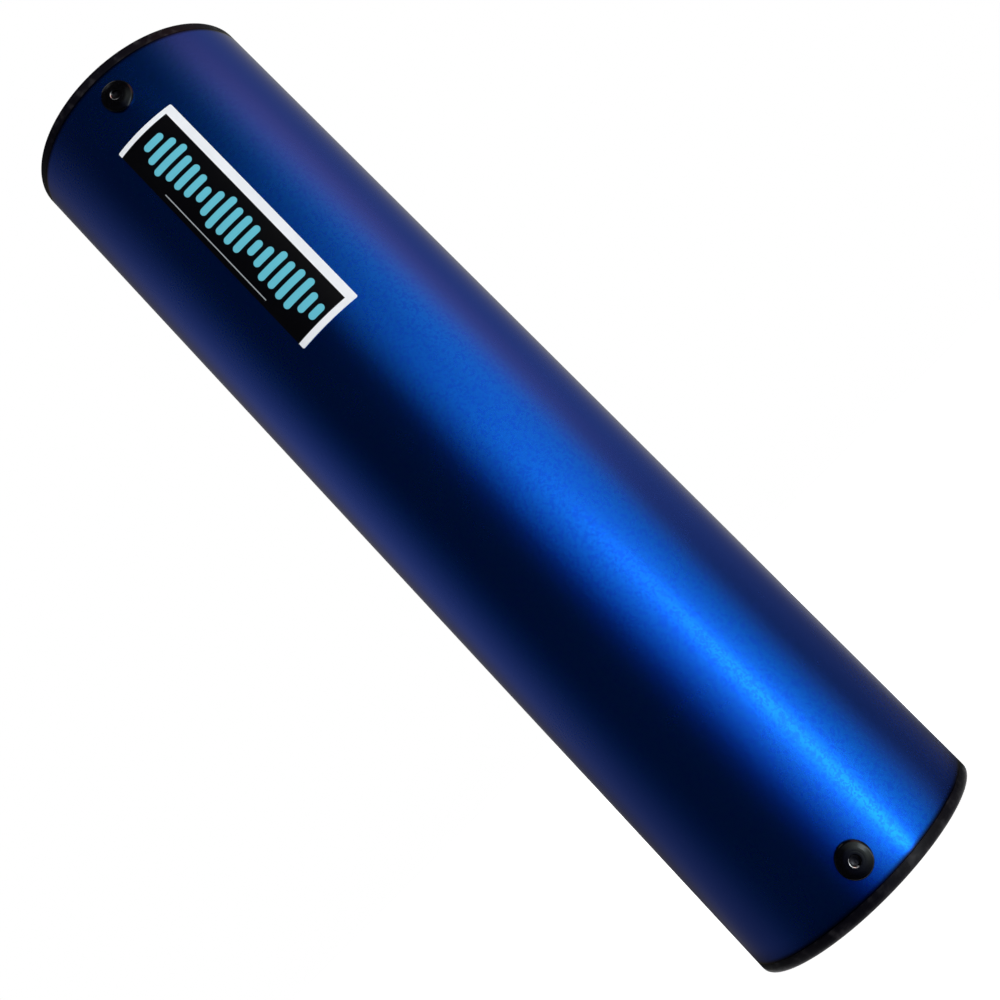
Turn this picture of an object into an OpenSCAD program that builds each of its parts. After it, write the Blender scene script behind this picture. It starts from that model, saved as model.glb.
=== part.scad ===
// Ganza shaker: a metal tube closed by two riveted plastic caps, with steel shot inside.
// Millimetres, +Z up along the tube. The origin is the centre of the lower cap's outer face,
// and the shaker stands on that face. The line of rivets that the label follows faces -Y.

/* [Tube] */
// Length over both caps
overall_len = 254; // [160:1:360]
// Outside diameter of the tube
tube_d = 63.5; // [58:0.5:76]
// Wall of the tube
tube_wall = 1.25; // [0.8:0.05:2]
// Edge break on the tube's cut ends
tube_edge = 0.25; // [0.1:0.05:0.35]

/* [Caps] */
// Thickness of a cap's face, which is also its flange
face_t = 2.5; // [2:0.1:4]
// Radius round the outer edge of the flange
flange_r = 0.6; // [0.3:0.1:1.5]
// Edge break where the flange meets the tube
flange_edge = 0.2; // [0.1:0.05:0.4]
// Length of the skirt that plugs the tube
skirt_len = 18; // [15:0.5:40]
// Wall of the skirt
skirt_wall = 2.5; // [1.6:0.1:4]
// Gap between the skirt and the tube's bore
skirt_fit = 0.05; // [0.02:0.01:0.15]
// Lead-in chamfer round the skirt's end
lead_in = 0.8; // [0.3:0.1:1.2]
// Fillet between the skirt and the face, inside
floor_fillet = 1; // [0.4:0.1:1.5]
// Depth of the shallow dish in the outer face
dish_depth = 0.5; // [0.2:0.1:0.9]
// Width of the flat rim round the dish
rim_w = 7; // [4:0.5:12]
// Diameter of the moulding gate's boss in the dish, level with the rim
gate_d = 8; // [4:0.5:12]

/* [Rivets] */
// Distance from a cap's outer face to its rivets
rivet_inset = 9.5; // [8:0.5:14]
// Diameter of a rivet's shank
rivet_d = 4; // [3.2:0.1:4.8]
// Gap between a shank and its hole
hole_fit = 0.05; // [0.02:0.01:0.15]
// Diameter of a rivet's domed head
head_d = 8; // [7:0.5:10]
// Height of the head above the tube
head_h = 1.5; // [1.2:0.1:2]
// Height of the head's edge above the tube
head_edge_h = 0.35; // [0.2:0.05:0.6]
// Diameter of the bulb set behind the skirt
bulb_d = 6; // [5.4:0.1:7]
// Length of the bulb
bulb_len = 3.5; // [2.5:0.1:4.5]
// Diameter of the mandrel's stem
stem_d = 2.2; // [1.8:0.1:2.4]
// Gap between the stem and the rivet's bore
stem_fit = 0.03; // [0.02:0.01:0.1]
// Depth of the stem's broken end below the top of the head
stem_recess = 0.7; // [0.3:0.1:1]
// Diameter of the mandrel's head
mandrel_d = 3.6; // [3:0.1:4.2]
// Length of the mandrel's head
mandrel_len = 1.6; // [1:0.1:2.5]
// Gap under each seated face of a rivet and its mandrel
seat_gap = 0.02; // [0.01:0.01:0.05]

/* [Label] */
// Length of the label along the tube
label_len = 66.5; // [30:0.5:120]
// Width of the label round the tube
label_w = 17.2; // [10:0.2:30]
// Thickness of the vinyl
label_t = 0.15; // [0.1:0.05:0.3]
// Radius of the label's corners
label_corner = 0.4; // [0.2:0.1:3]
// Distance from the upper cap's outer face to the label
label_inset = 19.8; // [16:0.2:50]
// Turn of the label's centre from the line of rivets, in degrees
label_turn = -1.5; // [-20:0.5:20]
// Gap of the adhesive under the label
label_gap = 0.02; // [0.01:0.01:0.05]

/* [Shot] */
// Diameter of a steel ball
shot_d = 4.76; // [4:0.02:6]
// Gap between neighbouring balls
shot_gap = 0.3; // [0.3:0.05:0.6]
// Gap between the balls and the cap that they lie on
shot_seat = 0.2; // [0.1:0.05:0.3]
// Gap between the balls and the skirt or a rivet
shot_clear = 0.5; // [0.3:0.1:1]

/* [Hidden] */
$fn = 96;
BALL_FN = 32;

// Overrun of every cut past the faces that it opens
over = 1;
tube_r = tube_d/2;
bore_r = tube_r - tube_wall;
skirt_r = bore_r - skirt_fit;
hollow_r = skirt_r - skirt_wall;
dish_r = tube_r - rim_w;

// The three rivets of a cap, by their angle about the tube, and the heights of the two rings
FRONT = -90;
RIGHT = 30;
LEFT = 150;
RIVETS = [FRONT, RIGHT, LEFT];
lower_z = rivet_inset;
upper_z = overall_len - rivet_inset;

head_r = head_d/2;
// How far the tube's surface falls away under the edge of a head
head_drop = tube_r - sqrt(tube_r*tube_r - head_r*head_r);
// Radius of the dome from its rise over the head's edge
dome_rise = head_h - head_edge_h;
dome_r = (head_r*head_r + dome_rise*dome_rise)/(2*dome_rise);
bulb_end = hollow_r - seat_gap - bulb_len;
mandrel_tip = bulb_end - seat_gap - mandrel_len;
// Profile of the bulb: where along it the full diameter starts and stops
bulb_shares = [0.2, 0.6];
// Chamfer on the mandrel's head, of its length
mandrel_chamfer_share = 0.35;

// Half the label's angle round the tube, and half its width seen square on
label_half = label_w/(PI*tube_d)*180;
label_half_w = tube_r*sin(label_half);

// Balls lie in rows, each row a half pitch along from the next
pitch = shot_d + shot_gap;
row_h = pitch*sqrt(3)/2;
shot_r = shot_d/2;
// A ball of the second layer lies in the dimple over three of the first
dimple = pitch/sqrt(3);
layer_h = sqrt(pow(shot_d + shot_gap/2, 2) - dimple*dimple);
first_z = face_t + shot_seat + shot_r;
zone_r = hollow_r - shot_clear - shot_r;
rivet_reach = mandrel_tip - shot_clear - shot_r;
rivet_lane = bulb_d/2 + shot_clear + shot_r;
rows = ceil(zone_r/row_h);

// Turns +Z outwards along a rivet at the given angle and height
module outwards(angle, height) {
    translate([0, 0, height]) rotate([0, 0, angle]) rotate([0, 90, 0]) children();
}

// Cylinder on the tube's axis that is longer than a rivet is wide, at a rivet's height
module drum(radius, height) {
    translate([0, 0, height - head_d]) cylinder(r = radius, h = 2*head_d);
}

// Holes through the tube and the skirt for one ring of rivets
module rivet_holes(height) {
    for (angle = RIVETS)
        outwards(angle, height)
            translate([0, 0, hollow_r - over])
                cylinder(r = rivet_d/2 + hole_fit, h = tube_r - hollow_r + 2*over);
}

module tube() {
    color([0.04, 0.30, 0.75])
    difference() {
        rotate_extrude()
            polygon([
                [bore_r + tube_edge, face_t],
                [tube_r - tube_edge, face_t],
                [tube_r, face_t + tube_edge],
                [tube_r, overall_len - face_t - tube_edge],
                [tube_r - tube_edge, overall_len - face_t],
                [bore_r + tube_edge, overall_len - face_t],
                [bore_r, overall_len - face_t - tube_edge],
                [bore_r, face_t + tube_edge]]);
        rivet_holes(lower_z);
        rivet_holes(upper_z);
    }
}

// Half section of a cap, with its outer face at 0 and its skirt above
module cap_section() {
    difference() {
        union() {
            translate([0, flange_r]) square([tube_r, face_t - flange_r]);
            square([tube_r - flange_r, face_t]);
            translate([tube_r - flange_r, flange_r]) circle(r = flange_r);
            translate([hollow_r, face_t - flange_edge]) square([skirt_wall, skirt_len + flange_edge]);
            difference() {
                translate([hollow_r - floor_fillet, face_t - flange_edge])
                    square([floor_fillet + skirt_wall/2, floor_fillet + flange_edge]);
                translate([hollow_r - floor_fillet, face_t + floor_fillet]) circle(r = floor_fillet);
            }
        }
        // Edge break beside the tube
        polygon([
            [tube_r - flange_edge, face_t],
            [tube_r + over, face_t + over],
            [tube_r + over, face_t - flange_edge - over],
            [tube_r, face_t - flange_edge]]);
        // Lead-in at the end of the skirt
        polygon([
            [skirt_r - lead_in, face_t + skirt_len],
            [skirt_r, face_t + skirt_len - lead_in],
            [skirt_r + over, face_t + skirt_len - lead_in],
            [skirt_r + over, face_t + skirt_len + over],
            [skirt_r - lead_in, face_t + skirt_len + over]]);
        // Dish in the outer face, round the gate's boss
        translate([gate_d/2, -over]) square([dish_r - gate_d/2, dish_depth + over]);
    }
}

module cap() {
    color([0.09, 0.09, 0.10])
    difference() {
        rotate_extrude() cap_section();
        rivet_holes(lower_z);
    }
}

module lower_cap() {
    cap();
}

module upper_cap() {
    translate([0, 0, overall_len]) mirror([0, 0, 1]) cap();
}

// Set blind rivet: domed head on the tube, shank, and the bulb behind the skirt
module rivet(angle, height) {
    color([0.13, 0.13, 0.14])
    difference() {
        union() {
            difference() {
                outwards(angle, height)
                    rotate_extrude()
                        intersection() {
                            translate([0, tube_r + head_h - dome_r]) circle(r = dome_r);
                            translate([0, tube_r - head_drop]) square([head_r, head_h + head_drop]);
                        }
                drum(tube_r + seat_gap, height);
            }
            outwards(angle, height)
                translate([0, 0, bulb_end])
                    cylinder(r = rivet_d/2, h = tube_r + head_edge_h - bulb_end);
            intersection() {
                outwards(angle, height)
                    translate([0, 0, bulb_end])
                        rotate_extrude()
                            polygon([
                                [0, 0],
                                [rivet_d/2, 0],
                                [bulb_d/2, bulb_len*bulb_shares[0]],
                                [bulb_d/2, bulb_len*bulb_shares[1]],
                                [rivet_d/2 + hole_fit, bulb_len + seat_gap],
                                [0, bulb_len + seat_gap]]);
                drum(hollow_r - seat_gap, height);
            }
        }
        outwards(angle, height)
            translate([0, 0, bulb_end - over])
                cylinder(r = stem_d/2 + stem_fit, h = tube_r + head_h - bulb_end + 2*over);
    }
}

// What stays of the pulling mandrel: its broken stem, and its head drawn into the bulb
module mandrel(angle, height) {
    chamfer = mandrel_len*mandrel_chamfer_share;
    color([0.55, 0.55, 0.57])
    outwards(angle, height)
        rotate_extrude()
            polygon([
                [0, mandrel_tip],
                [mandrel_d/2 - chamfer, mandrel_tip],
                [mandrel_d/2, mandrel_tip + chamfer],
                [mandrel_d/2, mandrel_tip + mandrel_len],
                [stem_d/2, mandrel_tip + mandrel_len],
                [stem_d/2, tube_r + head_h - stem_recess],
                [0, tube_r + head_h - stem_recess]]);
}

// Rectangle with round corners, centred, from squares and circles alone
module label_outline() {
    for (side = [-1, 1], end = [-1, 1])
        translate([side*(label_half_w - label_corner), end*(label_len/2 - label_corner)])
            circle(r = label_corner);
    square([2*(label_half_w - label_corner), label_len], center = true);
    square([2*label_half_w, label_len - 2*label_corner], center = true);
}

module label() {
    color([0.92, 0.93, 0.94])
    translate([0, 0, overall_len - label_inset - label_len/2])
        intersection() {
            difference() {
                cylinder(r = tube_r + label_gap + label_t, h = label_len + 2*over, center = true);
                cylinder(r = tube_r + label_gap, h = label_len + 4*over, center = true);
            }
            rotate([0, 0, label_turn])
                rotate([90, 0, 0])
                    linear_extrude(height = tube_d) label_outline();
        }
}

// A place in the rows of balls, and the place of the dimple beside it
function place(i, j) = [(i + j/2)*pitch, j*row_h];
function dimple_place(i, j) = place(i, j) + [pitch/2, dimple/2];
// The quarter of the tube that a place lies in: 0 right, 1 back, 2 left, 3 front
function quarter(p) = floor(((atan2(p.y, p.x) + 360 + 45) % 360)/90);
// How far a place lies along a rivet's line, and beside it
function along(p, angle) = p.x*cos(angle) + p.y*sin(angle);
function beside(p, angle) = abs(p.y*cos(angle) - p.x*sin(angle));
function clear_of(p, angle) = beside(p, angle) >= rivet_lane || along(p, angle) <= rivet_reach;
function has_room(p) =
    norm(p) <= zone_r && clear_of(p, FRONT) && clear_of(p, RIGHT) && clear_of(p, LEFT);
function held(i, j, q) = has_room(place(i, j)) && quarter(place(i, j)) == q;

// One quarter of the shot: balls on the cap's floor, and a second layer in their dimples
module shot(q) {
    color([0.62, 0.63, 0.65])
    for (j = [-rows:rows], i = [-2*rows:2*rows]) {
        if (held(i, j, q))
            translate(concat(place(i, j), first_z)) sphere(r = shot_r, $fn = BALL_FN);
        if (held(i, j, q) && held(i + 1, j, q) && held(i, j + 1, q) && has_room(dimple_place(i, j)))
            translate(concat(dimple_place(i, j), first_z + layer_h)) sphere(r = shot_r, $fn = BALL_FN);
    }
}

tube();
lower_cap();
upper_cap();
rivet(FRONT, lower_z);  // lower_rivet_front
rivet(RIGHT, lower_z);  // lower_rivet_right
rivet(LEFT, lower_z);  // lower_rivet_left
rivet(FRONT, upper_z);  // upper_rivet_front
rivet(RIGHT, upper_z);  // upper_rivet_right
rivet(LEFT, upper_z);  // upper_rivet_left
mandrel(FRONT, lower_z);  // lower_mandrel_front
mandrel(RIGHT, lower_z);  // lower_mandrel_right
mandrel(LEFT, lower_z);  // lower_mandrel_left
mandrel(FRONT, upper_z);  // upper_mandrel_front
mandrel(RIGHT, upper_z);  // upper_mandrel_right
mandrel(LEFT, upper_z);  // upper_mandrel_left
label();
shot(0);  // shot_right
shot(1);  // shot_back
shot(2);  // shot_left
shot(3);  // shot_front
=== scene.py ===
import math
import random

import bmesh
import bpy
from mathutils import Matrix, Quaternion, Vector, noise


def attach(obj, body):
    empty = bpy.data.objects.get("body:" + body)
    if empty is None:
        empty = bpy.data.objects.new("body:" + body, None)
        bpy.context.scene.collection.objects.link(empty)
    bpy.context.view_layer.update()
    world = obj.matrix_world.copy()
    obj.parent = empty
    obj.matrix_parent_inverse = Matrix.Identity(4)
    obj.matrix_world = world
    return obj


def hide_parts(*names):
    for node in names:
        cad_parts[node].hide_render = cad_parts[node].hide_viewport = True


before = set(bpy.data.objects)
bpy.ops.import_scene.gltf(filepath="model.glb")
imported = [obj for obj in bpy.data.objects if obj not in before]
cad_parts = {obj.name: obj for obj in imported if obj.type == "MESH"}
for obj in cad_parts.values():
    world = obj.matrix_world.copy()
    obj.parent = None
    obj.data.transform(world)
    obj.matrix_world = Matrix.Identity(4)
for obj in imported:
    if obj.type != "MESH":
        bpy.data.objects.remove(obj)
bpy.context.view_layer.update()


# The tube. Drawn aluminium, 2.5 inches across with a 1.25 mm wall, sawn to length, its
# edges broken and three rivet holes drilled near each end, then blasted to a satin and
# dyed blue in the anodising bath.

SHAKER_LEN = 0.254
TUBE_R = 0.03175
BORE_R = TUBE_R - 0.00125
FLANGE_T = 0.0025       # of a cap, over each end of the tube
TUBE_BOTTOM = FLANGE_T
TUBE_TOP = SHAKER_LEN - FLANGE_T
OUTER_EDGE = 0.00012    # how far the tube's ends are broken outside, and in the bore
BORE_EDGE = 0.00025
RIVET_ANGLES = {"front": -90, "right": 30, "left": 150}
RIVET_HEIGHTS = {"lower": 0.0095, "upper": SHAKER_LEN - 0.0095}
HOLE_R = 0.00205
COLUMNS = 240           # faces round the tube
COLUMN_W = math.tau*TUBE_R/COLUMNS
HOLE_COLUMNS = 3        # faces that a hole takes out on each side of its centre
ROW_H = 0.02            # height of the rows of faces between the holes
NEAR = 1e-5             # closer than this, a point is taken to be in its place


def turned(profile, columns, closed=True):
    """A bmesh turned about Z from a half section of (radius, height) points."""
    bm = bmesh.new()
    points = [bm.verts.new((0, -r, z)) for r, z in profile]
    for a, b in zip(points, points[1:] + points[:1] if closed else points[1:]):
        bm.edges.new((a, b))
    bmesh.ops.spin(bm, geom=bm.verts[:] + bm.edges[:], cent=(0, 0, 0), axis=(0, 0, 1),
                   angle=math.tau, steps=columns, use_merge=True)
    bmesh.ops.remove_doubles(bm, verts=bm.verts, dist=1e-6)
    bmesh.ops.recalc_face_normals(bm, faces=bm.faces)
    return bm


def radius(v):
    """Distance of a vertex from the axis that its shape is turned about."""
    return math.hypot(v.co.x, v.co.y)


def round_ring(bm, r, z, width, segments):
    """Rounds the ring of edges at that radius and height."""
    ring = [e for e in bm.edges if all(
        abs(radius(v) - r) < NEAR and abs(v.co.z - z) < NEAR for v in e.verts)]
    bmesh.ops.bevel(bm, geom=ring, affect="EDGES", offset=width, offset_type="OFFSET",
                    segments=segments, profile=0.5, material=-1, clamp_overlap=True)


def rows_at_holes(ring):
    """Heights of the rows of faces that a ring's rivet holes are cut from."""
    return [RIVET_HEIGHTS[ring] + k*COLUMN_W for k in range(-HOLE_COLUMNS, HOLE_COLUMNS + 1)]


def drill(bm, outer_r, inner_r, angle, z):
    """Drills one rivet hole through the wall between two radii."""
    out = Vector((math.cos(math.radians(angle)), math.sin(math.radians(angle)), 0))
    side = Vector((-out.y, out.x, 0))
    reach = HOLE_COLUMNS*COLUMN_W
    rings = []
    for wall_r in (outer_r, inner_r):
        def in_patch(v):
            return (abs(radius(v) - wall_r) < NEAR and v.co.dot(out) > 0
                    and abs(v.co.dot(side)) < reach + 10*NEAR and abs(v.co.z - z) < reach + NEAR)
        patch = [f for f in bm.faces if all(in_patch(v) for v in f.verts)]
        bmesh.ops.delete(bm, geom=patch, context="FACES")
        rim = [e for e in bm.edges if e.is_boundary and all(in_patch(v) for v in e.verts)]
        circle = bmesh.ops.create_circle(bm, cap_ends=False, radius=HOLE_R, segments=len(rim))
        for v in circle["verts"]:
            across, along = v.co.x, v.co.y
            v.co = (out*math.sqrt(wall_r**2 - across**2) + side*across
                    + Vector((0, 0, z + along)))
        ring = list({e for v in circle["verts"] for e in v.link_edges})
        bmesh.ops.bridge_loops(bm, edges=rim + ring)
        rings += ring
    bmesh.ops.bridge_loops(bm, edges=rings)


def new_object(bm, name, material):
    """Makes the bmesh an object of one material."""
    mesh = bpy.data.meshes.new(name)
    bm.to_mesh(mesh)
    bm.free()
    mesh.materials.append(material)
    made = bpy.data.objects.new(name, mesh)
    bpy.context.scene.collection.objects.link(made)
    return made


def made_piece(bm, name, node, material, body="root", sharp=40):
    """Makes the bmesh a piece that stands for a CAD node; sharp is in degrees."""
    bmesh.ops.recalc_face_normals(bm, faces=bm.faces)
    piece = new_object(bm, name, material)
    piece.data.shade_smooth()
    piece.data.set_sharp_from_angle(angle=math.radians(sharp))
    evened = piece.modifiers.new("flats stay flat", "WEIGHTED_NORMAL")
    evened.keep_sharp = True
    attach(piece, body)
    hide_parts(node)


def feed(tree, socket, value):
    """Links an output to a socket, or sets the socket's own value."""
    if isinstance(value, bpy.types.NodeSocket):
        tree.links.new(value, socket)
    else:
        socket.default_value = value


def put(tree, kind, inputs=None, **settings):
    """Adds a shader node; an input is a value, or an output to link to it."""
    made = tree.nodes.new(kind)
    for name, value in settings.items():
        setattr(made, name, value)
    for name, value in (inputs or {}).items():
        feed(tree, made.inputs[name], value)
    return made


def calc(tree, operation, *values):
    """Output of a Math node."""
    return put(tree, "ShaderNodeMath", dict(enumerate(values)), operation=operation).outputs[0]


def spread(tree, value, low, high, new_low=0.0, new_high=1.0):
    """Maps low..high smoothly onto new_low..new_high, and holds the ends."""
    return put(tree, "ShaderNodeMapRange", {
        "Value": value, "From Min": low, "From Max": high, "To Min": new_low,
        "To Max": new_high}, interpolation_type="SMOOTHSTEP").outputs[0]


def blend(tree, factor, a, b):
    """Colour a where factor is 0, and b where it is 1."""
    made = put(tree, "ShaderNodeMix", {"Factor": factor}, data_type="RGBA")
    for name, colour in (("A", a), ("B", b)):
        socket = [s for s in made.inputs if s.name == name and s.type == "RGBA"][0]
        feed(tree, socket, (*colour, 1) if isinstance(colour, tuple) else colour)
    return [s for s in made.outputs if s.type == "RGBA"][0]


def axis_distance(tree, place):
    """How far a point is from the tube's axis."""
    flat = put(tree, "ShaderNodeVectorMath", {0: place, 1: (1, 1, 0)}, operation="MULTIPLY")
    return put(tree, "ShaderNodeVectorMath", {0: flat.outputs[0]},
               operation="LENGTH").outputs["Value"]


def middle_distance(tree, place):
    """How far a point is, along the tube, from the shaker's middle."""
    height = put(tree, "ShaderNodeSeparateXYZ", {0: place}).outputs["Z"]
    return calc(tree, "ABSOLUTE", calc(tree, "SUBTRACT", height, SHAKER_LEN/2))


def new_group(name, inputs, outputs):
    """A shader group with float or vector inputs, and the sockets inside it."""
    tree = bpy.data.node_groups.new(name, "ShaderNodeTree")
    for socket, kind in inputs.items():
        tree.interface.new_socket(socket, in_out="INPUT", socket_type=kind)
    for socket, kind in outputs.items():
        tree.interface.new_socket(socket, in_out="OUTPUT", socket_type=kind)
    return tree, tree.nodes.new("NodeGroupInput").outputs, tree.nodes.new("NodeGroupOutput").inputs


VALUE, VECTOR = "NodeSocketFloat", "NodeSocketVector"

# Fine grain of a blasted, moulded or lacquered surface: soft cells with finer ones on them
FINER = 3.1             # fine cells to the length of one soft cell
FLECKS = 1.3            # and flecks
grain, given, result = new_group(
    "fine grain", {"Place": VECTOR, "Cells per metre": VALUE, "Fine share": VALUE},
    {"Height": VALUE, "Sparkle": VALUE})
coarse = put(grain, "ShaderNodeTexNoise", {
    "Vector": given["Place"], "Scale": given["Cells per metre"], "Detail": 1.0,
    "Roughness": 0.4})
fine = put(grain, "ShaderNodeTexNoise", {
    "Vector": given["Place"], "Scale": calc(grain, "MULTIPLY", given["Cells per metre"], FINER),
    "Detail": 2.0, "Roughness": 0.5})
flecks = put(grain, "ShaderNodeTexNoise", {
    "Vector": given["Place"], "Scale": calc(grain, "MULTIPLY", given["Cells per metre"], FLECKS),
    "Detail": 1.0, "Distortion": 1.0})
fine_part = calc(grain, "MULTIPLY", fine.outputs["Fac"], given["Fine share"])
grain.links.new(calc(grain, "ADD", coarse.outputs["Fac"], fine_part), result["Height"])
grain.links.new(spread(grain, flecks.outputs["Fac"], 0.46, 0.62), result["Sparkle"])

# Marks of handling: broad faint smudges, and a few short hairline scratches among them
HAIRS_TO_SMUDGES = 6.0
HAIR_LIE = (0.5, 0.9, 0.3)      # the way that the hairlines run
HAIR_SHAPE = (1.0, 1.0, 0.06)   # long and thin
handling, given, result = new_group(
    "handling marks", {"Place": VECTOR, "Smudges per metre": VALUE},
    {"Smudge": VALUE, "Scratch": VALUE})
smudges = put(handling, "ShaderNodeTexNoise", {
    "Vector": given["Place"], "Scale": given["Smudges per metre"], "Detail": 5.0,
    "Roughness": 0.6, "Distortion": 0.6})
handling.links.new(spread(handling, smudges.outputs["Fac"], 0.42, 0.68), result["Smudge"])
drawn_out = put(handling, "ShaderNodeMapping", {
    "Vector": given["Place"], "Rotation": HAIR_LIE, "Scale": HAIR_SHAPE}).outputs[0]
hairs = put(handling, "ShaderNodeTexVoronoi", {
    "Vector": drawn_out,
    "Scale": calc(handling, "MULTIPLY", given["Smudges per metre"], HAIRS_TO_SMUDGES)},
    feature="DISTANCE_TO_EDGE")
handling.links.new(
    calc(handling, "MULTIPLY",
         spread(handling, hairs.outputs["Distance"], 0.0, 0.012, 1.0, 0.0),
         spread(handling, smudges.outputs["Fac"], 0.56, 0.7)),
    result["Scratch"])


def new_material(name):
    """An empty material with its tree, its Object coordinates and its shader."""
    material = bpy.data.materials.new(name)
    material.use_nodes = True
    tree = material.node_tree
    tree.nodes.clear()
    place = put(tree, "ShaderNodeTexCoord").outputs["Object"]
    shader = put(tree, "ShaderNodeBsdfPrincipled")
    put(tree, "ShaderNodeOutputMaterial", {"Surface": shader.outputs[0]})
    return material, tree, place, shader


def grained(tree, place, cells_per_metre, fine_share):
    """The Height and Sparkle of a fine grain."""
    return put(tree, "ShaderNodeGroup", {
        "Place": place, "Cells per metre": cells_per_metre, "Fine share": fine_share},
        node_tree=grain).outputs


def handled(tree, place, smudges_per_metre):
    """The Smudge and Scratch of marks of handling."""
    return put(tree, "ShaderNodeGroup", {
        "Place": place, "Smudges per metre": smudges_per_metre}, node_tree=handling).outputs


def bump(tree, height, depth):
    """Normals of a relief that stands depth metres high."""
    return put(tree, "ShaderNodeBump", {
        "Height": height, "Strength": 1.0, "Distance": depth}).outputs[0]


def set_inputs(tree, shader, **values):
    """Sets or links the shader's sockets, written with _ for each space."""
    for name, value in values.items():
        feed(tree, shader.inputs[name.replace("_", " ")], value)


BLUE = (0.001, 0.145, 0.850)
BLUE_DEEP = (0.001, 0.125, 0.780)
BLUE_FLECK = (0.001, 0.075, 0.790)
VIOLET_SHEEN = (0.045, 0.145, 0.850)
BORE_BLUE = (0.004, 0.06, 0.3)
SEAM_SHADE_AND_DIRT = (0.001, 0.002, 0.010)
SEAM_W = 0.0012

anodised, tree, place, shader = new_material("blue anodised aluminium")
surface = grained(tree, place, cells_per_metre=900.0, fine_share=0.1)
marks = handled(tree, place, smudges_per_metre=28.0)
inside = spread(tree, axis_distance(tree, place), BORE_R + 0.0001, BORE_R + 0.0003, 1.0, 0.0)
streaky = put(tree, "ShaderNodeMapping", {"Vector": place, "Scale": (1, 1, 0.15)}).outputs[0]
dye = put(tree, "ShaderNodeTexNoise", {"Vector": streaky, "Scale": 60.0, "Detail": 3.0})
colour = blend(tree, spread(tree, dye.outputs["Fac"], 0.3, 0.7), BLUE, BLUE_DEEP)
colour = blend(tree, calc(tree, "MULTIPLY", surface["Sparkle"], 0.55), colour, BLUE_FLECK)
# Seen at a slant, the colour turns from blue towards violet: a painted violet sheen on the metal
slant = put(tree, "ShaderNodeLayerWeight", {"Blend": 0.5}).outputs["Facing"]
colour = blend(tree, spread(tree, slant, 0.16, 0.45), colour, VIOLET_SHEEN)
colour = blend(tree, calc(tree, "MULTIPLY", inside, 0.6), colour, BORE_BLUE)
# The tube darkens towards its sawn ends: painted shade of the gap at each cap's seam, together with
# the polish and dirt that gather there
sawn_end = TUBE_TOP - SHAKER_LEN/2
seam_shade_and_dirt = spread(tree, middle_distance(tree, place), sawn_end - SEAM_W, sawn_end)
colour = blend(tree, seam_shade_and_dirt, colour, SEAM_SHADE_AND_DIRT)
roughness = calc(tree, "MULTIPLY_ADD", surface["Sparkle"], 0.03, 0.235)
roughness = calc(tree, "MULTIPLY_ADD", marks["Smudge"], 0.02, roughness)
roughness = calc(tree, "MULTIPLY_ADD", inside, 0.12, roughness)
set_inputs(tree, shader, Metallic=1.0, Base_Color=colour, Roughness=roughness,
           Specular_Tint=(1.0, 0.86, 0.62, 1.0), Coat_Weight=0.15, Coat_Roughness=0.28,
           Normal=bump(tree, surface["Height"], depth=0.000016))

rows = sorted([TUBE_BOTTOM, TUBE_TOP] + rows_at_holes("lower") + rows_at_holes("upper")
              + [k*ROW_H for k in range(1, int(TUBE_TOP/ROW_H))])
tube = turned([(TUBE_R, z) for z in rows] + [(BORE_R, z) for z in reversed(rows)], COLUMNS)
for ring_z in RIVET_HEIGHTS.values():
    for angle in RIVET_ANGLES.values():
        drill(tube, TUBE_R, BORE_R, angle, ring_z)
for z in (TUBE_BOTTOM, TUBE_TOP):
    round_ring(tube, TUBE_R, z, OUTER_EDGE, segments=2)
    round_ring(tube, BORE_R, z, BORE_EDGE, segments=2)
made_piece(tube, "anodised_tube", "tube", anodised)


# The end caps. Injection moulded in black plastic: a rounded flange over the end of the
# tube, and a skirt that plugs it and is drilled with it for the rivets. The outer face
# is dished round the boss where the gate was cut off.

SKIRT_R = BORE_R - 0.00005
CUP_R = SKIRT_R - 0.0025    # inside the skirt
SKIRT_TOP = FLANGE_T + 0.018
DISH_R = TUBE_R - 0.007
DISH_DEPTH = 0.0005
BOSS_R = 0.004
WELL_R = 0.0012         # of the sunk spot in the boss, where the gate's stub stands
WELL_DEPTH = 0.0003
STUB_R = WELL_R/2
STUB_DEPTH = WELL_DEPTH/2
# Each rounded edge: its radius and height, how far it is rounded, and in how many steps
CAP_ROUNDINGS = (
    (TUBE_R, 0, 0.0006, 6), (TUBE_R, FLANGE_T, 0.0002, 2), (DISH_R, 0, 0.00025, 3),
    (DISH_R, DISH_DEPTH, 0.0002, 2), (BOSS_R, 0, 0.0002, 3), (BOSS_R, DISH_DEPTH, 0.0002, 2),
    (WELL_R, 0, 0.0001, 2), (STUB_R, STUB_DEPTH, 0.00005, 2), (SKIRT_R, SKIRT_TOP, 0.0008, 2),
    (CUP_R, SKIRT_TOP, 0.0003, 2), (CUP_R, FLANGE_T, 0.001, 4))
PLASTIC = (0.0018, 0.0014, 0.0040)
PLASTIC_SMUDGED = (0.0030, 0.0024, 0.0058)
PLASTIC_SCUFFED = (0.035, 0.033, 0.038)
DUST = (0.030, 0.029, 0.032)
HAIRLINE = (0.055, 0.054, 0.057)

moulded, tree, place, shader = new_material("black moulded plastic")
texture = grained(tree, place, cells_per_metre=2600.0, fine_share=0.7)
marks = handled(tree, place, smudges_per_metre=70.0)
from_axis = axis_distance(tree, place)
scuffed = put(tree, "ShaderNodeTexNoise", {"Vector": place, "Scale": 420.0, "Detail": 4.0})
edge = calc(tree, "MULTIPLY", spread(tree, from_axis, TUBE_R - 0.0009, TUBE_R - 0.0003),
            spread(tree, scuffed.outputs["Fac"], 0.5, 0.72))
colour = blend(tree, marks["Smudge"], PLASTIC, PLASTIC_SMUDGED)
colour = blend(tree, calc(tree, "MULTIPLY", edge, 0.5), colour, PLASTIC_SCUFFED)
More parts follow.
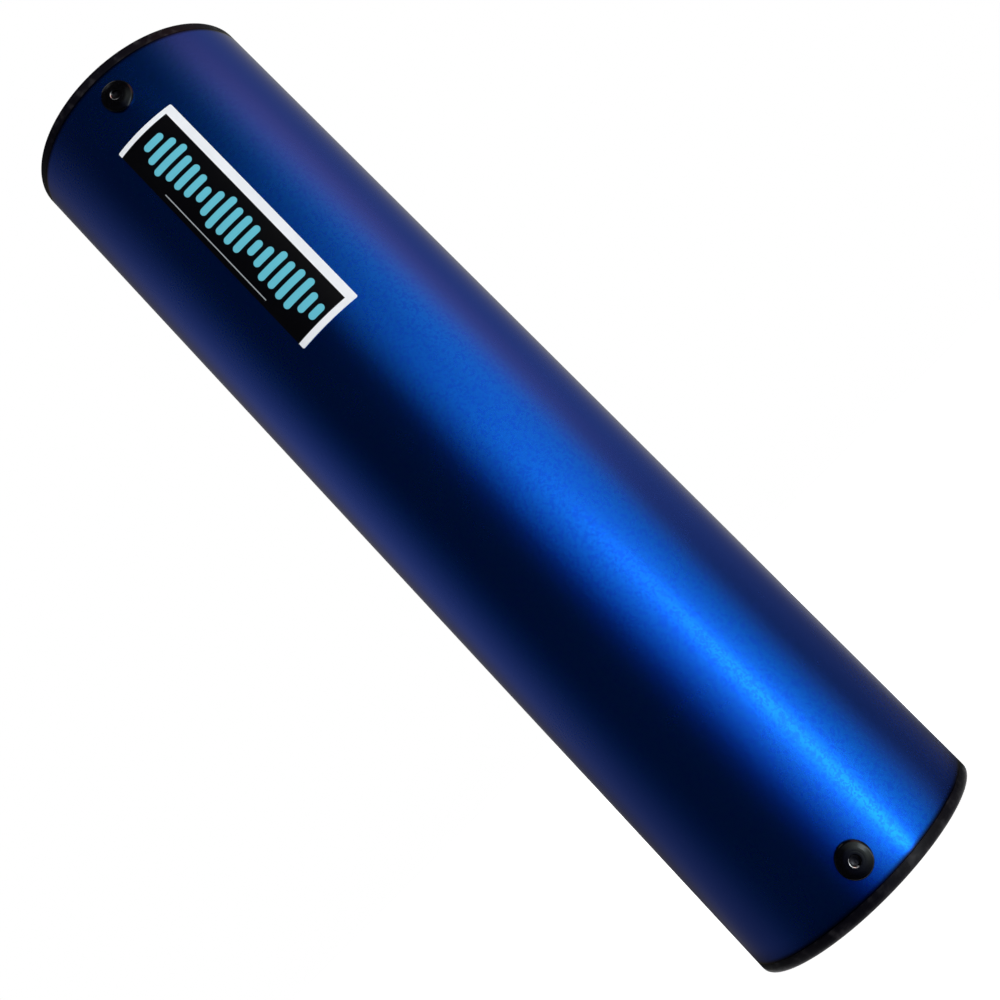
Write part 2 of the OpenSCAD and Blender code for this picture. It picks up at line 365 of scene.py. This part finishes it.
# Hands and dust leave the textured face greyer than the edge, in patches and hairlines;
# the rim that the shaker stands on is rubbed smoother
face = calc(tree, "MULTIPLY",
            spread(tree, middle_distance(tree, place), SHAKER_LEN/2 - 0.0009,
                   SHAKER_LEN/2 - 0.0006),
            spread(tree, from_axis, TUBE_R - 0.0035, TUBE_R - 0.0006, 1.0, 0.0))
patches = put(tree, "ShaderNodeTexNoise", {
    "Vector": place, "Scale": 110.0, "Detail": 5.0, "Roughness": 0.65})
patches = calc(tree, "MULTIPLY", face, spread(tree, patches.outputs["Fac"], 0.38, 0.68))
rubbed = calc(tree, "MULTIPLY", patches, spread(tree, from_axis, DISH_R, DISH_R + 0.0015))
dust = calc(tree, "MULTIPLY", face, calc(tree, "MULTIPLY_ADD", texture["Sparkle"], 0.5, 0.2))
dust = calc(tree, "MULTIPLY_ADD", patches, 0.2, dust)
colour = blend(tree, dust, colour, DUST)
colour = blend(tree, calc(tree, "MULTIPLY", face, marks["Scratch"]), colour, HAIRLINE)
roughness = calc(tree, "MULTIPLY_ADD", texture["Sparkle"], 0.1, 0.42)
roughness = calc(tree, "MULTIPLY_ADD", edge, -0.06, roughness)
roughness = calc(tree, "MULTIPLY_ADD", rubbed, -0.12, roughness)
roughness = calc(tree, "MULTIPLY_ADD", marks["Smudge"], 0.05, roughness)
height = calc(tree, "MULTIPLY", texture["Height"], calc(tree, "MULTIPLY_ADD", face, 5.0, 1.0))
set_inputs(tree, shader, Base_Color=colour, Roughness=roughness, IOR=1.49,
           Specular_IOR_Level=0.2, Normal=bump(tree, height, depth=0.000014))


def moulded_cap():
    """The lower cap: its outer face at zero and its skirt above."""
    skirt_rows = rows_at_holes("lower")
    bm = turned(
        [(0, STUB_DEPTH), (STUB_R, STUB_DEPTH), (STUB_R, WELL_DEPTH), (WELL_R, WELL_DEPTH),
         (WELL_R, 0), (BOSS_R, 0), (BOSS_R, DISH_DEPTH), (DISH_R, DISH_DEPTH), (DISH_R, 0),
         (TUBE_R, 0), (TUBE_R, FLANGE_T), (SKIRT_R, FLANGE_T)]
        + [(SKIRT_R, z) for z in skirt_rows]
        + [(SKIRT_R, SKIRT_TOP), (CUP_R, SKIRT_TOP)]
        + [(CUP_R, z) for z in reversed(skirt_rows)]
        + [(CUP_R, FLANGE_T), (0, FLANGE_T)], COLUMNS, closed=False)
    for angle in RIVET_ANGLES.values():
        drill(bm, SKIRT_R, CUP_R, angle, RIVET_HEIGHTS["lower"])
    for r, z, width, segments in CAP_ROUNDINGS:
        round_ring(bm, r, z, width, segments)
    return bm


made_piece(moulded_cap(), "moulded_lower_cap", "lower_cap", moulded)
upper_cap = moulded_cap()
upside_down = Matrix.Translation((0, 0, SHAKER_LEN)) @ Matrix.Diagonal((1, 1, -1, 1))
bmesh.ops.transform(upper_cap, matrix=upside_down, verts=upper_cap.verts)
made_piece(upper_cap, "moulded_upper_cap", "upper_cap", moulded)


# The blind rivets. Black lacquered aluminium, three to a cap: an 8 mm domed head on the
# tube, a 4 mm shank through the wall and the skirt, and the bulb that its mandrel swelled
# behind them. The mandrel has pulled out of the open bore down to its break.

GAP = 0.00002           # hair's breadth between pieces that touch
HEAD_R = 0.004
HEAD_TOP = TUBE_R + 0.0015
HEAD_EDGE = TUBE_R + 0.00035
SEAT = TUBE_R + GAP
SADDLE_TOP = HEAD_EDGE + 0.0001     # up to here the head follows the tube's curve
FLANK = (0.64, 0.90)    # shares of the head's radius between which its side is straight
DOME = 2.8              # how full the dome is: 2 is a ball's
DOME_ROWS = (0.98, 0.94, 0.9, 0.87, 0.77, 0.67, 0.64, 0.54, 0.42)
RIVET_BORE_R = 0.00113
SHANK_R = 0.002
BULB_R = 0.003
BULB_TOP = CUP_R - GAP
BULB_END = BULB_TOP - 0.0035
BULB_BELLY = (BULB_END + 0.0007, BULB_END + 0.0021)
RIVET_COLUMNS = 64
LACQUER = (0.0006, 0.0005, 0.0010)
LACQUER_FLECK = (0.0014, 0.0013, 0.0022)
BARE_ALUMINIUM = (0.90, 0.89, 0.92)
SCRAPED_SIDE = (0.17, -0.98)    # the way it lies from the middle of the bore

lacquered, tree, place, shader = new_material("black lacquered rivet")
from_rivet = put(tree, "ShaderNodeAttribute", attribute_name="from_rivet").outputs["Fac"]
film = grained(tree, place, cells_per_metre=1500.0, fine_share=0.4)
marks = handled(tree, place, smudges_per_metre=160.0)
# The mandrel scraped one side of the bore bare as it went, and the nose of the setting
# tool left a faint ring
scraped = put(tree, "ShaderNodeAttribute", attribute_name="scraped").outputs["Fac"]
bare = calc(tree, "MULTIPLY", spread(tree, from_rivet, 0.31, 0.345, 1.0, 0.0),
            spread(tree, scraped, 0.2, 0.7))
nose = calc(tree, "MULTIPLY", spread(tree, from_rivet, 0.44, 0.48),
            spread(tree, from_rivet, 0.50, 0.54, 1.0, 0.0))
colour = blend(tree, film["Sparkle"], LACQUER, LACQUER_FLECK)
colour = blend(tree, bare, colour, BARE_ALUMINIUM)
roughness = calc(tree, "MULTIPLY_ADD", marks["Smudge"], 0.05, 0.12)
roughness = calc(tree, "MULTIPLY_ADD", nose, 0.08, roughness)
roughness = calc(tree, "MULTIPLY_ADD", bare, -0.06, roughness)
height = calc(tree, "MULTIPLY_ADD", nose, -1.2, film["Height"])
set_inputs(tree, shader, Base_Color=colour, Metallic=bare, Roughness=roughness, IOR=1.5,
           Specular_IOR_Level=0.38, Specular_Tint=(0.86, 0.93, 1.0, 1.0),
           Normal=bump(tree, height, depth=0.000008))


def out_along(angle, z):
    """Turns a shape on Z so that its Z points out of the tube at that angle and height."""
    return (Matrix.Translation((0, 0, z)) @ Matrix.Rotation(math.radians(angle), 4, "Z")
            @ Matrix.Rotation(math.radians(90), 4, "Y"))


def crown(share):
    """Height of the head at that share of its radius: a dome with a straight flank."""
    inner, outer, here = (math.sqrt(1 - at**DOME) for at in (*FLANK, share))
    if FLANK[0] < share < FLANK[1]:
        here = inner + (outer - inner)*(share - FLANK[0])/(FLANK[1] - FLANK[0])
    return HEAD_EDGE + (HEAD_TOP - HEAD_EDGE)*here


def set_rivet():
    """A rivet as set, on Z, with the tube's axis along X."""
    bore_top = crown(RIVET_BORE_R/HEAD_R)
    bm = turned(
        [(RIVET_BORE_R, BULB_END), (SHANK_R, BULB_END)] + [(BULB_R, z) for z in BULB_BELLY]
        + [(SHANK_R, BULB_TOP), (SHANK_R, SEAT), (HEAD_R, SEAT), (HEAD_R, HEAD_EDGE)]
        + [(HEAD_R*share, crown(share)) for share in DOME_ROWS]
        + [(RIVET_BORE_R, bore_top)], RIVET_COLUMNS)
    round_ring(bm, RIVET_BORE_R, bore_top, width=0.0003, segments=5)
    round_ring(bm, HEAD_R, SEAT, width=0.00008, segments=2)
    for belly_z in BULB_BELLY:
        round_ring(bm, BULB_R, belly_z, width=0.0004, segments=3)
    from_rivet = bm.verts.layers.float.new("from_rivet")
    scraped = bm.verts.layers.float.new("scraped")
    for v in bm.verts:
        v[from_rivet] = radius(v)/HEAD_R
        v[scraped] = (SCRAPED_SIDE[0]*v.co.x + SCRAPED_SIDE[1]*v.co.y)/radius(v)
        # The underside of the head, and its edge, lie along the curve of the tube
        if v.co.z > SEAT - NEAR:
            share = min(max((SADDLE_TOP - v.co.z)/(SADDLE_TOP - SEAT), 0), 1)
            v.co.z -= share*(TUBE_R - math.sqrt(TUBE_R**2 - v.co.y**2))
    return bm


for ring, ring_z in RIVET_HEIGHTS.items():
    for side, angle in RIVET_ANGLES.items():
        bm = set_rivet()
        bmesh.ops.transform(bm, matrix=out_along(angle, ring_z), verts=bm.verts)
        made_piece(bm, f"lacquered_{ring}_rivet_{side}", f"{ring}_rivet_{side}",
                   lacquered)


# What stays of the mandrels. Drawn steel, blackened in oil: the head that was pulled up
# into the bulb, and the stem, which snapped at its notch below the top of the bore, where
# its torn end shows.

STEM_R = 0.0011
BREAK = HEAD_TOP - 0.0007
# The torn end, from its edge to its middle: radius, and depth below the break's lip
TORN_END = ((STEM_R, 0.0002), (0.00102, 0.00003), (0.00095, 0), (0.00086, 0.00003),
            (0.0006, 0.00011), (0.00035, 0.00017), (0, 0.00019))
TORN_DEPTH = 0.0005
TEAR_UP = 0.00006       # how ragged it is, and how many tears to a metre
TEARS_UP = 2600
TEAR_ASIDE = 0.00005
TEARS_ASIDE = 2100
MANDREL_HEAD_R = 0.0018
MANDREL_HEAD_T = 0.0016
MANDREL_HEAD_TOP = BULB_END - GAP
MANDREL_TIP = MANDREL_HEAD_TOP - MANDREL_HEAD_T
MANDREL_COLUMNS = 32
STEEL_DARK = (0.055, 0.055, 0.065)
STEEL_OILED = (0.025, 0.024, 0.026)

torn_steel, tree, place, shader = new_material("broken steel stem")
torn = grained(tree, place, cells_per_metre=5200.0, fine_share=0.8)
marks = handled(tree, place, smudges_per_metre=300.0)
set_inputs(tree, shader, Metallic=1.0,
           Base_Color=blend(tree, marks["Smudge"], STEEL_DARK, STEEL_OILED),
           Roughness=calc(tree, "MULTIPLY_ADD", torn["Sparkle"], 0.15, 0.3),
           Normal=bump(tree, torn["Height"], depth=0.00001))

draw = random.Random(7)
for ring, ring_z in RIVET_HEIGHTS.items():
    for side, angle in RIVET_ANGLES.items():
        bm = turned(
            [(0, MANDREL_TIP), (MANDREL_HEAD_R, MANDREL_TIP), (MANDREL_HEAD_R, MANDREL_HEAD_TOP),
             (STEM_R, MANDREL_HEAD_TOP)] + [(r, BREAK - depth) for r, depth in TORN_END],
            MANDREL_COLUMNS, closed=False)
        round_ring(bm, MANDREL_HEAD_R, MANDREL_TIP, width=0.00056, segments=3)
        round_ring(bm, MANDREL_HEAD_R, MANDREL_HEAD_TOP, width=0.0001, segments=2)
        shift = Vector((draw.uniform(0, 9), draw.uniform(0, 9), draw.uniform(0, 9)))
        for v in bm.verts:
            if v.co.z > BREAK - TORN_DEPTH:
                v.co.z += TEAR_UP*noise.noise(v.co*TEARS_UP + shift)
                v.co.x += TEAR_ASIDE*noise.noise(v.co*TEARS_ASIDE + shift)
        bmesh.ops.transform(bm, matrix=out_along(angle, ring_z), verts=bm.verts)
        made_piece(bm, f"broken_{ring}_mandrel_{side}", f"{ring}_mandrel_{side}",
                   torn_steel, sharp=60)


# The shot. 122 loose steel balls, 3/16 inch across, poured in before the upper cap goes
# on. They lie on the floor of the lower cap and are scuffed by running the tube's length.

BALL_R = 0.00238
STEEL = (0.62, 0.63, 0.65)
STEEL_DULL = (0.40, 0.40, 0.41)

scuffed_steel, tree, place, shader = new_material("scuffed steel ball")
scuffs = grained(tree, place, cells_per_metre=1900.0, fine_share=0.6)
marks = handled(tree, place, smudges_per_metre=240.0)
roughness = calc(tree, "MULTIPLY_ADD", scuffs["Sparkle"], 0.14, 0.14)
roughness = calc(tree, "MULTIPLY_ADD", marks["Scratch"], 0.25, roughness)
set_inputs(tree, shader, Metallic=1.0, Roughness=roughness,
           Base_Color=blend(tree, marks["Smudge"], STEEL, STEEL_DULL),
           Normal=bump(tree, scuffs["Height"], depth=0.000008))


def ball_centres(node):
    """Where the balls of a CAD node lie: the middle of each of its closed shells."""
    bm = bmesh.new()
    bm.from_mesh(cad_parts[node].data)
    bmesh.ops.remove_doubles(bm, verts=bm.verts, dist=1e-6)
    bm.verts.ensure_lookup_table()
    seen, centres = set(), []
    for first in bm.verts:
        if first.index in seen:
            continue
        seen.add(first.index)
        shell, front = [], [first]
        while front:
            v = front.pop()
            shell.append(v.co.copy())
            for e in v.link_edges:
                w = e.other_vert(v)
                if w.index not in seen:
                    seen.add(w.index)
                    front.append(w)
        centres.append(Vector([(min(c[k] for c in shell) + max(c[k] for c in shell))/2
                               for k in range(3)]))
    bm.free()
    return centres


for quarter in ("right", "back", "left", "front"):
    bm = bmesh.new()
    for centre in ball_centres(f"shot_{quarter}"):
        axis = (draw.gauss(0, 1), draw.gauss(0, 1), draw.gauss(0, 1))
        roll = Quaternion(axis, draw.uniform(0, 3))
        bmesh.ops.create_icosphere(bm, subdivisions=2, radius=BALL_R,
                                   matrix=Matrix.Translation(centre) @ roll.to_matrix().to_4x4())
    made_piece(bm, f"steel_shot_{quarter}", f"shot_{quarter}", scuffed_steel,
               body=f"shot_{quarter}", sharp=80)


# The label. White vinyl with round corners, printed off centre in black and teal and
# gloss laminated, so that a white margin shows along one side and at both ends. It is
# stuck along the tube just under the upper front rivet, a degree and a half off its line.

LABEL_LEN = 0.0665
LABEL_W = 0.0172
LABEL_T = 0.00015
LABEL_R = TUBE_R + GAP
LABEL_MIDDLE = SHAKER_LEN - 0.0198 - LABEL_LEN/2
LABEL_ANGLE = math.radians(-91.5)
CORNER_R = 0.0004
LABEL_COLUMNS = 24
# The print, in millimetres from the label's upper end and from its edge on the rivet's
# left: a black field that runs off that edge, a row of bars, and a thin rule
MM = 1000
SOFT = 0.06             # half the width of an edge of the print
FIELD_DOWN = (1.3, 64.8)
FIELD_OVER = (-1.0, 14.8)
FIRST_BAR = 3.2
BARS = 20
BAR_PITCH = 3.05
BAR_HALF = 0.95
BARS_OVER = 8.0         # where the bars' middles lie
BAR_LEAST = 0.35        # half the straight part of the shortest bar
SWELL = (0.47, 0.5, 2.3)    # the slow wave of their lengths: its turn from bar to bar, its
BEAT = (2.1, 0.3, 1.5)      # start, and its height; and the quick wave on it
RULE_DOWN = (16.0, 52.0)
RULE_OVER = (1.35, 1.6)
RULE_SOFT = 0.05
VINYL = (0.80, 0.83, 0.87)
VINYL_SMUDGED = (0.83, 0.86, 0.90)
INK_BLACK = (0.0012, 0.0012, 0.0022)
INK_TEAL = (0.12, 0.50, 0.62)
INK_GREY = (0.45, 0.50, 0.53)

printed, tree, place, shader = new_material("printed vinyl label")
uv = put(tree, "ShaderNodeUVMap", uv_map="flat").outputs[0]
uv = put(tree, "ShaderNodeSeparateXYZ", {0: uv}).outputs
down = calc(tree, "MULTIPLY", uv[0], LABEL_LEN*MM)
over = calc(tree, "MULTIPLY", uv[1], LABEL_W*MM)


def between(value, low, high, soft=SOFT):
    """1 from low to high, and 0 outside them."""
    return calc(tree, "MULTIPLY", spread(tree, value, low - soft, low + soft),
                spread(tree, value, high - soft, high + soft, 1.0, 0.0))


def wave(number, turn, start, height, base):
    """A wave along the bars that stays above its base."""
    angle = calc(tree, "MULTIPLY_ADD", number, turn, start)
    return calc(tree, "MULTIPLY_ADD", calc(tree, "ABSOLUTE", calc(tree, "SINE", angle)),
                height, base)


field = calc(tree, "MULTIPLY", between(down, *FIELD_DOWN), between(over, *FIELD_OVER))
bar = calc(tree, "DIVIDE", calc(tree, "SUBTRACT", down, FIRST_BAR), BAR_PITCH)
number = calc(tree, "FLOOR", bar)
off_bar = calc(tree, "MULTIPLY", calc(tree, "SUBTRACT", calc(tree, "FRACT", bar), 0.5), BAR_PITCH)
straight_half = wave(number, *SWELL, wave(number, *BEAT, BAR_LEAST))
beyond = calc(tree, "ABSOLUTE", calc(tree, "SUBTRACT", over, BARS_OVER))
beyond = calc(tree, "MAXIMUM", calc(tree, "SUBTRACT", beyond, straight_half), 0.0)
from_bar = calc(tree, "SQRT", calc(tree, "ADD", calc(tree, "MULTIPLY", off_bar, off_bar),
                                   calc(tree, "MULTIPLY", beyond, beyond)))
bars = calc(tree, "MULTIPLY",
            spread(tree, from_bar, BAR_HALF - SOFT, BAR_HALF + SOFT, 1.0, 0.0),
            between(down, FIRST_BAR, FIRST_BAR + BARS*BAR_PITCH))
rule = calc(tree, "MULTIPLY", between(over, *RULE_OVER, RULE_SOFT), between(down, *RULE_DOWN))
marks = handled(tree, place, smudges_per_metre=90.0)
film = grained(tree, place, cells_per_metre=700.0, fine_share=0.3)
colour = blend(tree, marks["Smudge"], VINYL, VINYL_SMUDGED)
colour = blend(tree, field, colour, INK_BLACK)
colour = blend(tree, bars, colour, INK_TEAL)
colour = blend(tree, calc(tree, "MULTIPLY", rule, 0.75), colour, INK_GREY)
roughness = calc(tree, "MULTIPLY_ADD", marks["Smudge"], 0.06, 0.3)
set_inputs(tree, shader, Base_Color=colour, Roughness=roughness, Specular_IOR_Level=0.2,
           Normal=bump(tree, film["Height"], depth=0.000006))

label = bmesh.new()
bmesh.ops.create_grid(label, x_segments=1, y_segments=1, size=0.5)
bmesh.ops.scale(label, vec=(LABEL_W, LABEL_LEN, 1), verts=label.verts)
bmesh.ops.bevel(label, geom=label.verts[:], affect="VERTICES", offset=CORNER_R,
                offset_type="OFFSET", segments=5, profile=0.5, material=-1)
for k in range(1, LABEL_COLUMNS):
    bmesh.ops.bisect_plane(label, geom=label.verts[:] + label.edges[:] + label.faces[:],
                           plane_co=((k/LABEL_COLUMNS - 0.5)*LABEL_W, 0, 0), plane_no=(1, 0, 0))
bmesh.ops.solidify(label, geom=label.faces[:], thickness=LABEL_T)
underside = min(v.co.z for v in label.verts)
flat = label.loops.layers.uv.new("flat")
for part in label.faces:
    for loop in part.loops:
        loop[flat].uv = (0.5 - loop.vert.co.y/LABEL_LEN, 0.5 + loop.vert.co.x/LABEL_W)
for v in label.verts:
    turn = LABEL_ANGLE + v.co.x/TUBE_R
    r = LABEL_R + (v.co.z - underside)
    v.co = (r*math.cos(turn), r*math.sin(turn), LABEL_MIDDLE + v.co.y)
made_piece(label, "vinyl_label", "label", printed, sharp=50)


# The studio. A white floor and surround, and three soft lamps that light the shaker. Round
# it stands a tent of cloth that only reflections see, for the blue metal to show: a strip
# lamp low at the front right before a white wall, and dark cloth at the front left.

FLOOR_R = 4.0
FLOOR_DROP = 0.00002    # under the cap's rim
FLOOR_GREY = 0.85
FLOOR_GLOW = 0.8
SURROUND_LIGHT = 0.3    # of the white surround, which shows as 1


def shown(tree):
    """1 for what the camera, a gloss or clear glass shows, and 0 for what lights."""
    ray = put(tree, "ShaderNodeLightPath").outputs
    return calc(tree, "MAXIMUM", ray["Is Camera Ray"],
                calc(tree, "MAXIMUM", ray["Is Glossy Ray"], ray["Is Transmission Ray"]))


white_floor, tree, place, shader = new_material("white floor")
set_inputs(tree, shader, Base_Color=(FLOOR_GREY, FLOOR_GREY, FLOOR_GREY, 1), Roughness=0.9,
           Emission_Color=(1, 1, 1, 1),
           Emission_Strength=calc(tree, "MULTIPLY", shown(tree), FLOOR_GLOW))
disc = bmesh.new()
bmesh.ops.create_circle(disc, cap_ends=True, radius=FLOOR_R, segments=64)
floor = new_object(disc, "floor", white_floor)
floor.location.z = -FLOOR_DROP

world = bpy.data.worlds.new("white surround")
bpy.context.scene.world = world
world.use_nodes = True
tree = world.node_tree
tree.nodes.clear()
white = put(tree, "ShaderNodeBackground", {
    "Color": (1, 1, 1, 1), "Strength": spread(tree, shown(tree), 0.0, 1.0, SURROUND_LIGHT, 1.0)})
put(tree, "ShaderNodeOutputWorld", {"Surface": white.outputs[0]})

TENT_R = 0.5
TENT_H = 0.9
FOOT_R = 0.0325
OPEN_TOP_R = 0.2
OVER_FLOOR = 0.0003
TENT_COLUMNS = 96
# Painted shadow on the tent's floor cloth: its glow is dimmed close to the shaker's foot
PAINTED_SHADOW_REACH = (0.034, 0.050)  # from the axis: where the shaker's shadow is full, and where it ends
PAINTED_SHADOW_LIGHT = 0.4
DOWN = -1.0             # the lowest height of a panel that goes on over the floor
WHITE = (1.0, 1.05, 0.95)
# Each panel: its middle's angle from the front towards the right, half its width and the
# half width of its soft edge, in degrees; its lowest and highest height and the half height
# of its soft edge, in metres; its brightness and its colour
PANELS = {
    "strip lamp at the front right": (36.5, 3.8, 3.4, DOWN, 0.05, 0.09, 3.9, (0.92, 0.98, 1.02)),
    "its glow on the cloth": (33, 8, 22, DOWN, 0.14, 0.10, 0.9, (0.90, 1.05, 0.96)),
    "white wall on the right": (42, 31, 22, DOWN, 0.34, 0.20, 0.73, WHITE),
    "pinkish wall further right": (74, 14, 26, 0.15, 0.54, 0.10, 0.32, (3.8, 1.35, 0.95)),
    "bluish cloth at the front": (4, 6, 26, DOWN, 0.20, 0.12, 0.12, (0.6, 0.8, 2.4)),
    "grey wall at the back right": (120, 30, 30, 0.0, 0.90, 0.25, 0.18, (0.9, 1.05, 1.1)),
    "grey wall at the back left": (-122, 20, 46, 0.0, 0.55, 0.25, 0.21, (1.12, 1.12, 1.12)),
    "white wall behind": (170, 28, 20, DOWN, 0.90, 0.05, 0.30, WHITE)}
BLACK_CLOTH = (0.025, 0.025, 0.025)

cloth = bpy.data.materials.new("tent cloth")
cloth.use_nodes = True
tree = cloth.node_tree
tree.nodes.clear()
place = put(tree, "ShaderNodeTexCoord").outputs["Object"]
at = put(tree, "ShaderNodeSeparateXYZ", {0: place}).outputs
from_axis = axis_distance(tree, place)
turn = calc(tree, "ARCTAN2", at["X"], calc(tree, "MULTIPLY", at["Y"], -1.0))
turn = calc(tree, "DEGREES", turn)
# On the floor the panels' feet curve in towards the front, so that the tube shows each of
# them as a straight band down to its lower end
bend = calc(tree, "DIVIDE", TUBE_R/2, calc(tree, "SUBTRACT", from_axis, TUBE_R/2))
at_front = spread(tree, calc(tree, "ABSOLUTE", turn), 40.0, 120.0, 1.0, 0.0)
turn = calc(tree, "MULTIPLY_ADD", turn, calc(tree, "MULTIPLY", bend, at_front), turn)
colour = BLACK_CLOTH
for middle, half, soft, low, high, fade, bright, tint in PANELS.values():
    off_middle = calc(tree, "PINGPONG", calc(tree, "SUBTRACT", turn, middle), 180.0)
    panel = calc(tree, "MULTIPLY", spread(tree, at["Z"], low - fade, low + fade),
                 spread(tree, at["Z"], high - fade, high + fade, 1.0, 0.0))
    panel = calc(tree, "MULTIPLY", panel,
                 spread(tree, off_middle, half - soft, half + soft, 1.0, 0.0))
    colour = put(tree, "ShaderNodeVectorMath", {
        0: tuple(bright*c for c in tint), 1: panel, 2: colour}, operation="MULTIPLY_ADD").outputs[0]
# The cloth on the floor close to the shaker is dimmed: a painted shadow of the shaker on it
light_under_painted_shadow = spread(tree, from_axis, *PAINTED_SHADOW_REACH, PAINTED_SHADOW_LIGHT, 1.0)
glow = put(tree, "ShaderNodeEmission", {"Color": colour, "Strength": light_under_painted_shadow})
put(tree, "ShaderNodeOutputMaterial", {"Surface": glow.outputs[0]})

walls = turned([(FOOT_R, OVER_FLOOR), (TENT_R, OVER_FLOOR), (TENT_R, TENT_H),
                (OPEN_TOP_R, TENT_H)], TENT_COLUMNS, closed=False)
tent = new_object(walls, "tent", cloth)
for ray_kind in ("camera", "diffuse", "shadow", "transmission", "volume_scatter"):
    setattr(tent, f"visible_{ray_kind}", False)

LAMPS_FACE = Vector((0, 0, 0.12))


def soft_lamp(name, angle, height, distance, width, tall, watts):
    """A soft panel lamp that faces the middle of the shaker."""
    data = bpy.data.lights.new(name, "AREA")
    data.shape, data.size, data.size_y = "RECTANGLE", width, tall
    data.energy = watts
    lamp = bpy.data.objects.new(name, data)
    turn = math.radians(angle)
    lamp.location = (distance*math.sin(turn), -distance*math.cos(turn), height)
    lamp.rotation_euler = (LAMPS_FACE - lamp.location).to_track_quat("-Z", "Y").to_euler()
    lamp.visible_glossy = lamp.visible_camera = False
    bpy.context.scene.collection.objects.link(lamp)


soft_lamp("front right lamp", angle=35, height=0.25, distance=0.9, width=0.6, tall=0.6,
          watts=4.0)
soft_lamp("overhead lamp", angle=-20, height=1.1, distance=0.4, width=0.8, tall=0.8,
          watts=5.0)
soft_lamp("back lamp", angle=170, height=0.5, distance=0.9, width=0.8, tall=0.6, watts=3.0)

# The camera looks at the front from low down, rolled so that the shaker lies across the
# picture from its upper end at the top left to its lower end at the bottom right
CAMERA_AT = (0.005928, -0.299725, 0.072169)
CAMERA_AIM = Vector((0.018926, 0, 0.130841))
CAMERA_ROLL = math.radians(-44.69)
camera_data = bpy.data.cameras.new("camera")
camera_data.lens, camera_data.sensor_width = 44.95, 36.0
camera_data.shift_x, camera_data.shift_y = -0.0205, -0.1017
camera_data.clip_start = 0.01
camera = bpy.data.objects.new("camera", camera_data)
camera.location = CAMERA_AT
level = (CAMERA_AIM - camera.location).to_track_quat("-Z", "Y")
camera.rotation_euler = (level @ Quaternion((0, 0, 1), CAMERA_ROLL)).to_euler()
bpy.context.scene.collection.objects.link(camera)
bpy.context.scene.camera = camera

bpy.context.scene.view_settings.view_transform = "Standard"
